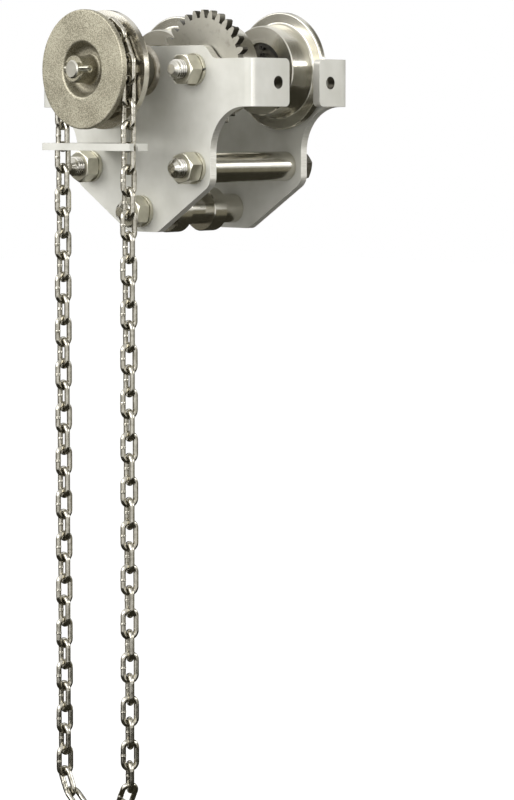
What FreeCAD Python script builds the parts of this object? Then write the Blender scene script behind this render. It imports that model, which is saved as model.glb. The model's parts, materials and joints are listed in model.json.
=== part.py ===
import FreeCAD, Part
import math
import os

# Geared trolley for the bottom flange of a beam, with an endless hand chain
# Lengths in millimetres, angles in degrees
# X runs along the beam, -Y is the chain side, Z is up
# The origin is on the beam's running surface, on the beam's centre line, midway between the axles

V = FreeCAD.Vector

# Clearances, each on the radius or per face
fit = 0.05
hole_play = 0.25
run_gap = 0.3
overrun = 3.0
tiny = 1e-6

# Gear train: two gear rims share one pinion
gear_module = 4.0
gear_teeth = 31
pinion_teeth = 10
pressure_angle = 20.0
working_angle = 22.4
backlash = 0.4
addendum_share = 1.0
dedendum_share = 1.25
gear_shift_share = 0.08
mesh_turn = 10.2

# Wheels
flange_gauge = 115.0
tread_w = 30.0
tread_mouth_d = 101.0
tread_root_d = 107.0
tread_edge = 1.0
tread_fillet = 2.5
flange_d = 134.0
flange_w = 8.5
flange_edge = 2.0
hub_bore_d = 50.0
bore_edge = 1.0
gear_seat_rim = 0.5

# Sealed ball bearings and circlips
bearing_od = 62.0
bearing_id = 30.0
bearing_w = 16.0
bearing_count = 2
inner_ring_od = 39.0
outer_ring_id = 53.0
ball_d = 9.2
ball_count = 9
seal_t = 1.2
seal_setback = 0.6
wheel_clip_t = 2.0
wheel_clip_d = 54.0
wheel_groove_d = 65.0
wheel_clip_setback = 1.5
wheel_lug_r = 3.6
axle_clip_t = 1.5
axle_clip_d = 36.0
axle_groove_d = 28.6
axle_land = 1.2
axle_lug_r = 2.6
lug_hole_r = 1.2
clip_gap_deg = 26.0
clip_turn_deg = 250.0

# Axles and the threaded ends
axle_collar_d = 40.0
stud_d = 22.0
stud_tip = 3.5
front_stud_out = 36.0
rear_stud_out = 20.0
nut_flats = 32.0
nut_h = 18.0
nut_chamfer_deg = 30.0
nut_face_share = 0.95
washer_d = 36.0
washer_t = 4.0
washer_slit = 2.4
washer_slant_deg = 20.0

# Side plates
plate_t = 10.0
front_gap = 2.0
rear_gap = 3.5
plate_top = 26.6
shoulder_top = 99.0
shoulder_foot = 113.0
shoulder_r = 11.0
arm_top = 11.7
arm_bottom = -41.1
bend_x = 158.5
bend_r = 18.0
side_half = 107.7
side_foot = -127.5
side_corner_r = 15.0
foot_half = 24.5
foot_z = -181.7
foot_corner_r = 12.0
ear_reach = 54.2
ear_corner_r = 6.0
ear_hole_d = 14.0
ear_hole_in = 36.3
ear_hole_drop = 14.7

# Cross bars and load collars
bar_d = 34.0
tie_in = 24.4
tie_drop = 108.6
load_drop = 158.5
collar_d = 50.4
collar_w = 20.6
collar_edge = 1.0
hook_gap = 35.4
hook_shift = -3.7

# Drive shaft, housing and bushes
housing_d = 50.0
housing_l = 46.0
housing_edge = 1.5
spigot_d = 40.0
bush_od = 32.0
bush_l = 20.0
bush_flange_d = 38.0
bush_flange_t = 2.0
journal_d = 25.0
seat_d = 20.0
shaft_edge = 1.5
shaft_proud = 2.5
pinion_side_gap = 0.5
pinion_collar_d = 30.0
key_w = 6.0
key_h = 6.0
key_l = 28.0
key_depth = 3.5

# Hand chain
pitch = 24.4
wire_d = 6.0
link_w = 21.0
link_play = 0.3
pockets = 7
drop_links = 32
calm_links = 2
ramp_links = 5
left_twist = 11.0
right_twist_top = 8.0
right_twist_foot = 30.0

# Hand chain wheel
chain_stand_off = 26.8
wheel_w = 38.4
rim_over = 1.2
rim_edge = 1.8
rear_rim_more = 2.6
rib_rise = 3.8
floor_gap = 0.35
pad_half = 9.0
relief = 1.6
pocket_side_gap = 1.1
pocket_end_gap = 2.5
flank_flare = 1.7
slot_side_gap = 0.7
slot_foot_gap = 0.4
dish_d = 62.0
dish_floor_d = 51.0
dish_depth = 12.0
dish_r = 7.0
dish_lip_r = 3.0
boss_d = 30.0
boss_proud = 13.3
boss_edge = 1.5
boss_root_r = 3.0
rear_boss_d = 40.0

# Slotted spring pin through boss and shaft
pin_d = 8.0
pin_bore_d = 5.0
pin_slit = 2.0
pin_in = 3.2
pin_reach = 9.5
pin_sunk = 1.0
pin_slot_flare = 3.4

# Chain guide and its bracket
guide_rim = 8.0
guide_tip = 4.6
guide_depth = 28.0
guide_t = 8.0
guide_drop = 81.4
guide_hole_r = 11.7
guide_slot_w = 6.9
guide_slot_shift = -4.1
guide_corner_r = 1.5
bracket_in = 8.3
bracket_w = 44.0
bracket_t = 8.0
bracket_top_drop = 42.0
bracket_corner_r = 5.0
bolt_d = 8.0
bolt_flats = 13.0
bolt_head_h = 5.3
bolt_drop = 57.0
bolt_edge = 11.0

# Places worked out from the sizes above
gear_half_teeth = (gear_teeth + pinion_teeth) / 2
axle_half = (gear_module * gear_half_teeth * math.cos(math.radians(pressure_angle))
             / math.cos(math.radians(working_angle)))
axle_z = (tread_mouth_d + tread_root_d) / 4
u_flange = flange_gauge / 2
u_mouth = u_flange - tread_w
u_back = u_flange + flange_w
u_seat = u_mouth + wheel_clip_setback + wheel_clip_t
u_lip = u_seat + bearing_count * bearing_w
u_axle_end = u_seat - axle_clip_t - axle_land
ball_path_r = (inner_ring_od + outer_ring_id) / 4
front_in = -(u_back + front_gap)
front_out = front_in - plate_t
rear_in = u_back + rear_gap
rear_out = rear_in + plate_t
tie_half = side_half - tie_in
tie_z = axle_z - tie_drop
load_z = axle_z - load_drop
chain_y = front_out - housing_l - chain_stand_off
link_bow = (link_w - wire_d) / 2
link_arc = math.pi / pockets
flat_r = (pitch - link_bow + (pitch + link_bow) * math.cos(link_arc)) / (2 * math.sin(link_arc))
upright_r = (pitch + link_bow + (pitch - link_bow) * math.cos(link_arc)) / (2 * math.sin(link_arc))
rim_r = upright_r + link_w / 2 + rim_over
left_end = pockets + drop_links
link_count = 2 * left_end
housing_end = front_out - housing_l
hub_rear = housing_end - bush_flange_t - run_gap
wheel_front = chain_y - wheel_w / 2
boss_end = wheel_front - boss_proud
pin_y = boss_end + pin_in
guide_top = axle_z - guide_drop
guide_left = -(flat_r + guide_hole_r + guide_rim)
guide_right = upright_r + guide_hole_r + guide_tip
bracket_left = guide_left + bracket_in
bracket_right = bracket_left + bracket_w
wheel_places = {"left": -axle_half, "right": axle_half}
stud_places = [(-axle_half, axle_z), (axle_half, axle_z), (-tie_half, tie_z), (tie_half, tie_z), (0, load_z)]
nut_turns = [12, 0, 30, 13, 20]


def outline(corners, place):
    """Closed wire through corners (a, b, radius), each corner rounded by its radius."""
    count = len(corners)
    turns = []
    for i, (a, b, radius) in enumerate(corners):
        here = V(a, b, 0)
        if radius == 0:
            turns.append((here, None, here))
            continue
        back = (V(corners[i - 1][0], corners[i - 1][1], 0) - here).normalize()
        ahead = (V(corners[(i + 1) % count][0], corners[(i + 1) % count][1], 0) - here).normalize()
        half = back.getAngle(ahead) / 2
        cut = radius / math.tan(half)
        inward = (back + ahead).normalize()
        middle = here + inward * (radius / math.sin(half) - radius)
        turns.append((here + back * cut, middle, here + ahead * cut))
    edges = []
    for i, (first, middle, last) in enumerate(turns):
        if middle is not None:
            edges.append(Part.Arc(place(first), place(middle), place(last)).toShape())
        following = turns[(i + 1) % count][0]
        if last.distanceToPoint(following) > tiny:
            edges.append(Part.LineSegment(place(last), place(following)).toShape())
    return Part.Wire(edges)


def upright(p):
    """Point of a drawing in the XZ plane."""
    return V(p.x, 0, p.y)


def level(p):
    """Point of a drawing in the XY plane."""
    return V(p.x, p.y, 0)


def turned(corners, x=0, z=0):
    """Solid turned about an axis along Y, from corners (radius, y, rounding)."""
    solid = Part.Face(outline(corners, level)).revolve(V(0, 0, 0), V(0, 1, 0), 360)
    return moved(solid, x, 0, z)


def moved(shape, x, y, z):
    shape = shape.copy()
    shape.translate(V(x, y, z))
    return shape


def spun(shape, angle):
    """Shape turned about the Y axis."""
    shape = shape.copy()
    shape.rotate(V(0, 0, 0), V(0, 1, 0), angle)
    return shape


def rod(radius, y0, y1, x=0, z=0):
    return Part.makeCylinder(radius, abs(y1 - y0), V(x, min(y0, y1), z), V(0, 1, 0))


def ring(outer, inner, y0, y1, x=0, z=0):
    return rod(outer, y0, y1, x, z).cut(rod(inner, y0, y1, x, z))


def box(x0, x1, y0, y1, z0, z1):
    return Part.makeBox(x1 - x0, y1 - y0, z1 - z0, V(x0, y0, z0))


def group(solids):
    return Part.makeCompound(solids)


def polar(radius, angle):
    return V(radius * math.cos(angle), 0, radius * math.sin(angle))


def involute(angle):
    return math.tan(angle) - angle


def gear_face(teeth, shift, first):
    """Face of an involute gear in the XZ plane, with a tooth at the angle first."""
    slope = math.radians(pressure_angle)
    pitch_r = gear_module * teeth / 2
    base_r = pitch_r * math.cos(slope)
    tip_r = pitch_r + gear_module * (addendum_share + shift)
    root_r = pitch_r - gear_module * (dedendum_share - shift)
    low_r = max(base_r, root_r)
    thick = gear_module * (math.pi / 2 + 2 * shift * math.tan(slope)) - backlash / 2

    def half_angle(radius):
        return thick / (2 * pitch_r) + involute(slope) - involute(math.acos(min(1, base_r / radius)))

    mid_r = (low_r + tip_r) / 2
    low, mid, tip = half_angle(low_r), half_angle(mid_r), half_angle(tip_r)
    step = 2 * math.pi / teeth
    edges = []
    for i in range(teeth):
        c = first + i * step
        if root_r < base_r:
            edges.append(Part.LineSegment(polar(root_r, c - low), polar(low_r, c - low)).toShape())
        edges.append(Part.Arc(polar(low_r, c - low), polar(mid_r, c - mid), polar(tip_r, c - tip)).toShape())
        edges.append(Part.Arc(polar(tip_r, c - tip), polar(tip_r, c), polar(tip_r, c + tip)).toShape())
        edges.append(Part.Arc(polar(tip_r, c + tip), polar(mid_r, c + mid), polar(low_r, c + low)).toShape())
        if root_r < base_r:
            edges.append(Part.LineSegment(polar(low_r, c + low), polar(root_r, c + low)).toShape())
        edges.append(Part.Arc(polar(root_r, c + low), polar(root_r, c + step / 2),
                              polar(root_r, c + step - low)).toShape())
    return Part.Face(Part.Wire(edges))


def shift_sum_share():
    """Sum of the profile shifts that the working angle asks for."""
    gain = involute(math.radians(working_angle)) - involute(math.radians(pressure_angle))
    return gear_half_teeth * gain / math.tan(math.radians(pressure_angle))


def wheel(side, flange_r, edge):
    """Flanged wheel with a conical tread, its axis on the Y axis; side is -1 in front, 1 at the rear."""
    bore = bearing_od / 2 + fit
    lip = hub_bore_d / 2
    body = turned([
        (bore, side * (u_mouth + bore_edge), 0),
        (bore + bore_edge, side * u_mouth, 0),
        (tread_mouth_d / 2 - tread_edge, side * u_mouth, 0),
        (tread_mouth_d / 2, side * (u_mouth + tread_edge), 0),
        (tread_root_d / 2, side * u_flange, tread_fillet),
        (flange_r, side * u_flange, edge),
        (flange_r, side * u_back, edge),
        (lip, side * u_back, 0),
        (lip, side * u_lip, 0),
        (bore, side * u_lip, 0)])
    return body.cut(rod(wheel_groove_d / 2, side * (u_seat - wheel_clip_t), side * u_seat))


def geared_wheel(first):
    """Front wheel, its flange cut as a gear with a tooth at the angle first."""
    rim = gear_face(gear_teeth, gear_shift_share, first).extrude(V(0, -flange_w, 0))
    rim = moved(rim, 0, -u_flange, 0).cut(rod(bearing_od / 2 + fit, -u_flange, -u_back))
    seat = tread_root_d / 2 + tread_fillet + gear_seat_rim
    return wheel(-1, seat, 0).fuse(rim).removeSplitter()


def bearing_spans(side):
    """Start and end of each bearing along Y."""
    starts = [u_seat + i * bearing_w for i in range(bearing_count)]
    return [(side * u, side * (u + bearing_w)) for u in starts]


def raceway(y0, y1):
    """Ring of space that the balls of one bearing run in."""
    return Part.makeTorus(ball_path_r, ball_d / 2 + fit, V(0, (y0 + y1) / 2, 0), V(0, 1, 0))


def balls(y0, y1):
    step = 2 * math.pi / ball_count
    return [Part.makeSphere(ball_d / 2, polar(ball_path_r, i * step) + V(0, (y0 + y1) / 2, 0))
            for i in range(ball_count)]


def inner_ring(y0, y1):
    return ring(inner_ring_od / 2, bearing_id / 2 + fit, y0, y1).cut(raceway(y0, y1))


def outer_ring(y0, y1):
    """Outer ring with the two seals that it carries."""
    outer, inner = bearing_od / 2, outer_ring_id / 2
    lip = inner_ring_od / 2 + run_gap
    way = 1 if y1 > y0 else -1
    far, near = y1 - way * seal_setback, y0 + way * seal_setback
    body = turned([
        (outer, y0, 0), (outer, y1, 0), (inner, y1, 0),
        (inner, far, 0), (lip, far, 0), (lip, far - way * seal_t, 0), (inner, far - way * seal_t, 0),
        (inner, near + way * seal_t, 0), (lip, near + way * seal_t, 0), (lip, near, 0), (inner, near, 0),
        (inner, y0, 0)])
    return body.cut(raceway(y0, y1))


def circlip(outer, inner, lug_r, lug_at, y0, y1):
    """Open ring with two drilled lugs beside its gap."""
    body = ring(outer, inner, y0, y1)
    half = math.radians(clip_gap_deg / 2)
    far = outer / math.cos(half) + overrun
    wedge = Part.Face(Part.makePolygon([V(0, 0, 0), polar(far, -half), polar(far, half), V(0, 0, 0)]))
    body = body.cut(moved(wedge.extrude(V(0, abs(y1 - y0), 0)), 0, min(y0, y1), 0))
    for way in (-1, 1):
        spot = polar(lug_at, way * (half + lug_r / lug_at))
        body = body.fuse(rod(lug_r, y0, y1, spot.x, spot.z))
        body = body.cut(rod(lug_hole_r, y0, y1, spot.x, spot.z))
    return spun(body.removeSplitter(), clip_turn_deg)


def wheel_circlip(side):
    outer = wheel_groove_d / 2 - fit
    inner = wheel_clip_d / 2
    return circlip(outer, inner, wheel_lug_r, inner, side * (u_seat - wheel_clip_t), side * u_seat)


def axle_circlip(side):
    outer = axle_clip_d / 2
    inner = axle_groove_d / 2 + fit
    return circlip(outer, inner, axle_lug_r, outer, side * (u_seat - axle_clip_t), side * u_seat)


def axle(side, inner_face, stud_end):
    """Axle with a bearing journal, a collar against the side plate and a threaded end."""
    journal, groove, collar, stud = bearing_id / 2, axle_groove_d / 2, axle_collar_d / 2, stud_d / 2
    end = side * u_axle_end
    return turned([
        (0, end, 0),
        (journal - axle_land / 2, end, 0),
        (journal, end + side * axle_land / 2, 0),
        (journal, end + side * axle_land, 0),
        (groove, end + side * axle_land, 0),
        (groove, side * u_seat, 0),
        (journal, side * u_seat, 0),
        (journal, side * u_lip, 0),
        (collar, side * u_lip, 0),
        (collar, inner_face, 0),
        (stud, inner_face, 0),
        (stud, stud_end - side * stud_tip, 0),
        (stud - stud_tip, stud_end, 0),
        (0, stud_end, 0)])


def cross_bar(x, z):
    """Round bar between the side plates, shouldered down to a threaded end on both sides."""
    bar, stud = bar_d / 2, stud_d / 2
    front_end, rear_end = front_out - front_stud_out, rear_out + rear_stud_out
    return turned([
        (0, front_end, 0),
        (stud - stud_tip, front_end, 0),
        (stud, front_end + stud_tip, 0),
        (stud, front_in, 0),
        (bar, front_in, 0),
        (bar, rear_in, 0),
        (stud, rear_in, 0),
        (stud, rear_end - stud_tip, 0),
        (stud - stud_tip, rear_end, 0),
        (0, rear_end, 0)], x, z)


def hexagon(flats, y0, y1, angle):
    """Hex prism along Y with its corners turned off at both ends."""
    corner = flats / math.sqrt(3)
    points = [polar(corner, math.radians(angle + 60 * i)) for i in range(7)]
    low, high = min(y0, y1), max(y0, y1)
    prism = Part.Face(Part.makePolygon(points)).extrude(V(0, high - low, 0))
    face = flats / 2 * nut_face_share
    rise = (corner - face) * math.tan(math.radians(nut_chamfer_deg))
    crown = turned([(0, low, 0), (face, low, 0), (corner, low + rise, 0),
                    (corner, high - rise, 0), (face, high, 0), (0, high, 0)])
    return moved(prism, 0, low, 0).common(crown)


def nut(y0, y1, angle):
    return hexagon(nut_flats, y0, y1, angle).cut(rod(stud_d / 2 + fit, y0, y1))


def lock_washer():
    """Split spring washer against the front plate."""
    y1 = front_out - washer_t
    body = ring(washer_d / 2, stud_d / 2 + fit, front_out, y1)
    slit = box(0, washer_d, -washer_t, washer_t, -washer_slit / 2, washer_slit / 2)
    slit.rotate(V(0, 0, 0), V(1, 0, 0), washer_slant_deg)
    return body.cut(moved(slit, 0, (front_out + y1) / 2, 0))


def plate_face():
    """Shield outline of a side plate between the two bends, in the XZ plane about the axle height."""
    right = [
        (shoulder_top, plate_top, shoulder_r),
        (shoulder_foot, arm_top, shoulder_r),
        (bend_x, arm_top, 0),
        (bend_x, arm_bottom, 0),
        (side_half, arm_bottom, bend_x - side_half),
        (side_half, side_foot, side_corner_r),
        (foot_half, foot_z, foot_corner_r)]
    left = [(-a, b, radius) for a, b, radius in reversed(right)]
    return Part.Face(outline(right + left, upright))


def ear():
    """Right bend and buffer ear of a plate whose outer face is at y = 0."""
    section = Part.Face(Part.makePolygon([
        V(bend_x, 0, arm_bottom), V(bend_x, plate_t, arm_bottom), V(bend_x, plate_t, arm_top),
        V(bend_x, 0, arm_top), V(bend_x, 0, arm_bottom)]))
    bend = section.revolve(V(bend_x, bend_r, 0), V(0, 0, 1), 90)
    flat = outline([
        (bend_r, arm_bottom, 0), (ear_reach, arm_bottom, ear_corner_r),
        (ear_reach, arm_top, ear_corner_r), (bend_r, arm_top, 0)], lambda p: V(bend_x + bend_r, p.x, p.y))
    tab = Part.Face(flat).extrude(V(-plate_t, 0, 0))
    hole = Part.makeCylinder(ear_hole_d / 2, plate_t, V(bend_x + bend_r - plate_t, ear_hole_in, -ear_hole_drop),
                             V(1, 0, 0))
    return bend.fuse(tab.cut(hole))


def side_plate():
    """Side plate with its outer face at y = 0, its inner face at y = plate_t and the axle height at z = 0."""
    body = plate_face().extrude(V(0, plate_t, 0))
    right = ear()
    body = body.fuse([right, right.mirror(V(0, 0, 0), V(1, 0, 0))]).removeSplitter()
    hole_r = stud_d / 2 + hole_play
    return body.cut([rod(hole_r, 0, plate_t, x, z - axle_z) for x, z in stud_places])


def front_plate():
    plate = moved(side_plate(), 0, front_out, axle_z)
    holes = [rod(spigot_d / 2 + fit, front_out, front_in, 0, axle_z)]
    holes += [rod(bolt_d / 2 + fit, front_out, front_in, x, axle_z - bolt_drop) for x in bolt_places()]
    return plate.cut(holes)


def rear_plate():
    return moved(side_plate().mirror(V(0, 0, 0), V(0, 1, 0)), 0, rear_out, axle_z)


def load_collar(y0, y1):
    outer, inner = collar_d / 2, bar_d / 2 + fit
    return turned([
        (inner, y0, 0), (outer - collar_edge, y0, 0), (outer, y0 + collar_edge, 0),
        (outer, y1 - collar_edge, 0), (outer - collar_edge, y1, 0), (inner, y1, 0)], 0, load_z)


def housing():
    """Sleeve on the front plate, with a spigot through the plate."""
    outer, spigot, bore = housing_d / 2, spigot_d / 2, bush_od / 2 + fit
    return turned([
        (bore, housing_end, 0), (outer - housing_edge, housing_end, 0),
        (outer, housing_end + housing_edge, 0), (outer, front_out, 0),
        (spigot, front_out, 0), (spigot, front_in, 0), (bore, front_in, 0)], 0, axle_z)


def inner_bush():
    """Plain bush in the plate's end of the housing."""
    return ring(bush_od / 2, journal_d / 2 + fit, front_in - bush_l, front_in, 0, axle_z)


def outer_bush():
    """Bush in the free end of the housing, its flange towards the chain wheel."""
    inner, outer, flange = journal_d / 2 + fit, bush_od / 2, bush_flange_d / 2
    return turned([
        (inner, housing_end + bush_l, 0), (outer, housing_end + bush_l, 0), (outer, housing_end, 0),
        (flange, housing_end, 0), (flange, housing_end - bush_flange_t, 0),
        (inner, housing_end - bush_flange_t, 0)], 0, axle_z)


def key_span():
    """Start and end of the key along Y, centred in the wheel."""
    return chain_y - key_l / 2, chain_y + key_l / 2


def drive_shaft():
    """Pinion, collar and stepped shaft in one piece, with a keyway and the pin's cross hole."""
    face_in = -u_flange + pinion_side_gap
    face_out = -u_back - pinion_side_gap
    thrust = front_in + run_gap
    journal, seat, collar = journal_d / 2, seat_d / 2, pinion_collar_d / 2
    end = boss_end - shaft_proud
    body = turned([
        (0, end, 0), (seat - shaft_edge, end, 0), (seat, end + shaft_edge, 0), (seat, hub_rear, 0),
        (journal, hub_rear, 0), (journal, thrust, 0), (collar, thrust, 0), (collar, face_out, 0), (0, face_out, 0)])
    shift = shift_sum_share() - gear_shift_share
    pinion = gear_face(pinion_teeth, shift, math.radians(mesh_turn)).extrude(V(0, face_in - face_out, 0))
    body = body.fuse(moved(pinion, 0, face_out, 0))
    y0, y1 = key_span()
    way = box(-key_w / 2, key_w / 2, y0, y1, seat - key_depth, seat + overrun)
    return moved(body.cut(way), 0, 0, axle_z).cut(pin_hole())


def pin_hole():
    """Cross hole of the spring pin, through boss and shaft."""
    left = -boss_d / 2 - overrun
    return Part.makeCylinder(pin_d / 2 + fit, -2 * left, V(left, pin_y, axle_z), V(1, 0, 0))


def pin_slot():
    """Open slot across the boss's end, flared towards the front, that the pin lies in."""
    left = -boss_d / 2 - overrun
    seat, mouth, start = pin_d / 2 + fit, pin_d / 2 + pin_slot_flare, boss_end - overrun
    corners = [(start, mouth), (boss_end, mouth), (pin_y, seat), (pin_y, -seat), (boss_end, -mouth), (start, -mouth)]
    points = [V(left, y, axle_z + z) for y, z in corners + corners[:1]]
    return Part.Face(Part.makePolygon(points)).extrude(V(-2 * left, 0, 0))


def key():
    y0, y1 = key_span()
    low = axle_z + seat_d / 2 - key_depth
    return box(-key_w / 2 + fit, key_w / 2 - fit, y0 + fit, y1 - fit, low, low + key_h)


def pocket(angle):
    """Cutters of one chain pocket: a middle pad, and a deeper floor under each end of the link."""
    floor = flat_r - wire_d / 2 - floor_gap
    half_l = (pitch + link_play) / 2 + wire_d + pocket_end_gap
    half_w = link_w / 2 + pocket_side_gap
    top = rim_r + overrun
    cutters = [
        box(floor, top, -half_w, half_w, -pad_half, pad_half),
        box(floor - relief, top, -half_w, half_w, pad_half, half_l),
        box(floor - relief, top, -half_w, half_w, -half_l, -pad_half)]
    return [spun(c, -math.degrees(angle)) for c in cutters]


def hand_chain_wheel():
    """Pocket wheel with a dished front, a slotted boss and a keyed bore."""
    half = wheel_w / 2
    groove = link_w / 2 + pocket_side_gap
    bore = seat_d / 2 + fit
    rear = hub_rear - chain_y
    front = boss_proud + half
    dish = half - dish_depth
    back = half + rear_rim_more
    body = turned([
        (bore, -front, 0),
        (boss_d / 2 - boss_edge, -front, 0),
        (boss_d / 2, -front + boss_edge, 0),
        (boss_d / 2, -dish, boss_root_r),
        (dish_floor_d / 2, -dish, dish_r),
        (dish_d / 2, -half, dish_lip_r),
        (rim_r, -half, rim_edge),
        (rim_r, -groove - flank_flare, 0),
        (flat_r + rib_rise, -groove, 0),
        (flat_r + rib_rise, groove, 0),
        (rim_r, groove + flank_flare, 0),
        (rim_r, back, rim_edge),
        (rear_boss_d / 2, back, 0),
        (rear_boss_d / 2, rear, 0),
        (bore, rear, 0)])
    step = 2 * math.pi / pockets
    cutters = []
    for i in range(pockets):
        cutters += pocket(step / 2 + i * step)
    body = body.cut(cutters)
    slot = wire_d / 2 + slot_side_gap
    body = body.cut(ring(rim_r + overrun, upright_r - link_w / 2 - slot_foot_gap, -slot, slot))
    body = moved(body, 0, chain_y, axle_z)
    y0, y1 = key_span()
    low = axle_z + seat_d / 2 - key_depth
    keyway = box(-key_w / 2, key_w / 2, y0, y1, low, low + key_h + fit)
    return body.cut([keyway, pin_slot(), pin_hole()])


def spring_pin():
    """Slotted tube along X, sunk in the boss on the left and standing proud on the right."""
    left, right = pin_sunk - boss_d / 2, boss_d / 2 + pin_reach
    start, way = V(left, 0, 0), V(1, 0, 0)
    body = Part.makeCylinder(pin_d / 2, right - left, start, way)
    body = body.cut(Part.makeCylinder(pin_bore_d / 2, right - left, start, way))
    body = body.cut(box(left, right, -pin_d, 0, -pin_slit / 2, pin_slit / 2))
    return moved(body, 0, pin_y, axle_z)


def bolt_places():
    return (bracket_left + bolt_edge, bracket_right - bolt_edge)


def chain_guide():
    """Guide plate with a round eye for each run, an open slot at the right end and an arm to the bracket."""
    front, rear = chain_y - guide_depth / 2, chain_y + guide_depth / 2
    arm = front_out - bracket_t
    corners = [
        (guide_left, front, guide_corner_r), (guide_right, front, guide_corner_r),
        (guide_right, rear, guide_corner_r), (bracket_right, rear, bracket_corner_r),
        (bracket_right, arm, 0), (bracket_left, arm, 0),
        (bracket_left, rear, bracket_corner_r / 2), (guide_left, rear, guide_corner_r)]
    body = moved(Part.Face(outline(corners, level)).extrude(V(0, 0, -guide_t)), 0, 0, guide_top)
    bottom = guide_top - guide_t
    eyes = [Part.makeCylinder(guide_hole_r, guide_t, V(x, chain_y, bottom)) for x in (-flat_r, upright_r)]
    mid = chain_y + guide_slot_shift
    slot = box(upright_r, guide_right + overrun, mid - guide_slot_w / 2, mid + guide_slot_w / 2, bottom, guide_top)
    return body.cut(eyes + [slot])


def guide_bracket():
    """Upright tab on the front plate that carries the guide's arm."""
    top = axle_z - bracket_top_drop
    bottom = guide_top - guide_t
    corners = [
        (bracket_left, bottom, 0), (bracket_right, bottom, 0),
        (bracket_right, top, bracket_corner_r), (bracket_left, top, bracket_corner_r)]
    body = moved(Part.Face(outline(corners, upright)).extrude(V(0, -bracket_t, 0)), 0, front_out, 0)
    return body.cut([rod(bolt_d / 2 + fit, front_out, front_out - bracket_t, x, axle_z - bolt_drop)
                     for x in bolt_places()])


def guide_bolt(x):
    """Hex bolt through the bracket, its shank ending flush in the plate."""
    face = front_out - bracket_t
    body = hexagon(bolt_flats, face, face - bolt_head_h, 0).fuse(rod(bolt_d / 2, face, front_in))
    return moved(body, x, 0, axle_z - bolt_drop)


def link():
    """Round-wire chain link in the XZ plane, its long axis along Z."""
    wire_r = wire_d / 2
    bow = link_bow
    straight = (pitch + link_play + wire_d) / 2 - bow
    path = Part.Wire([
        Part.LineSegment(V(bow, 0, -straight), V(bow, 0, straight)).toShape(),
        Part.Arc(V(bow, 0, straight), V(0, 0, straight + bow), V(-bow, 0, straight)).toShape(),
        Part.LineSegment(V(-bow, 0, straight), V(-bow, 0, -straight)).toShape(),
        Part.Arc(V(-bow, 0, -straight), V(0, 0, -straight - bow), V(bow, 0, -straight)).toShape()])
    section = Part.Wire([Part.Circle(V(bow, 0, -straight), V(0, 0, 1), wire_r).toShape()])
    return Part.Solid(path.makePipeShell([section], True, False))


def run_twist(j, top, foot):
    """Twist of the j-th link below the wheel, calm beside the wheel and growing along the run."""
    rise = min(1, max(0, (j - calm_links) / ramp_links))
    along = max(0, j - calm_links) / (drop_links - calm_links)
    return rise * (top + (foot - top) * along)


def link_turn(i):
    """Turn of the i-th link, counted from the wheel's right side over its top and down the left run."""
    steps = min(i, pockets) + min(max(i - left_end, 0), pockets)
    if i <= left_end:
        twist = run_twist(max(0, i - pockets), left_twist, left_twist)
    elif i < left_end + pockets:
        share = (i - left_end) / pockets
        twist = left_twist * (1 - share) - right_twist_foot * share
    else:
        twist = -run_twist(link_count - i, right_twist_top, right_twist_foot)
    roll = FreeCAD.Rotation(V(0, 0, 1), 90 * (i % 2) + twist)
    return FreeCAD.Rotation(V(0, 1, 0), -math.degrees(steps * link_arc)).multiply(roll)


def link_step(first, second):
    """Way from a link's centre to the next one's: each pivots in the other's bow, in its own plane."""
    ahead, onward = first.multVec(V(0, 0, 1)), second.multVec(V(0, 0, 1))
    between = first.multVec(V(0, 1, 0)).cross(second.multVec(V(0, 1, 0))).normalize()
    if between.dot(ahead) < 0:
        between = between * -1
    return (ahead + onward) * ((pitch - link_bow) / 2) + between * link_bow


def chain_stations():
    """Centre and turn of every link; the bottom bight takes up what the twist leaves open."""
    turns = [link_turn(i) for i in range(link_count)]
    centres = [V(upright_r, 0, 0)]
    for first, second in zip(turns, turns[1:] + turns[:1]):
        centres.append(centres[-1] + link_step(first, second))
    slack = centres[0] - centres.pop()
    return [(centre + slack * min(1, max(0, i - left_end) / pockets), turn)
            for i, (centre, turn) in enumerate(zip(centres, turns))]


def chain(first, last):
    """Links of one stretch of the endless chain; every second link lies across the wheel's plane."""
    plain = link()
    stations = chain_stations()
    links = []
    for i in range(first, last):
        centre, turn = stations[i % link_count]
        place = FreeCAD.Placement(centre + V(0, chain_y, axle_z), turn)
        links.append(plain.transformed(place.toMatrix(), True))
    return group(links)


def wheel_nodes(name, side, bodies, inner_face, stud_end):
    """Wheel, axle, bearings and circlips at the two axles of one side."""
    nodes = {}
    spans = bearing_spans(side)
    for hand, x in wheel_places.items():
        place = name + "_" + hand
        parts = {
            "wheel_": bodies[hand],
            "axle_": axle(side, inner_face, stud_end),
            "bearing_inner_rings_": group([inner_ring(a, b) for a, b in spans]),
            "bearing_outer_rings_": group([outer_ring(a, b) for a, b in spans]),
            "bearing_balls_": group([ball for a, b in spans for ball in balls(a, b)]),
            "wheel_circlip_": wheel_circlip(side)}
        for kind, shape in parts.items():
            nodes[kind + place] = moved(shape, x, 0, axle_z)
    return nodes


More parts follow.
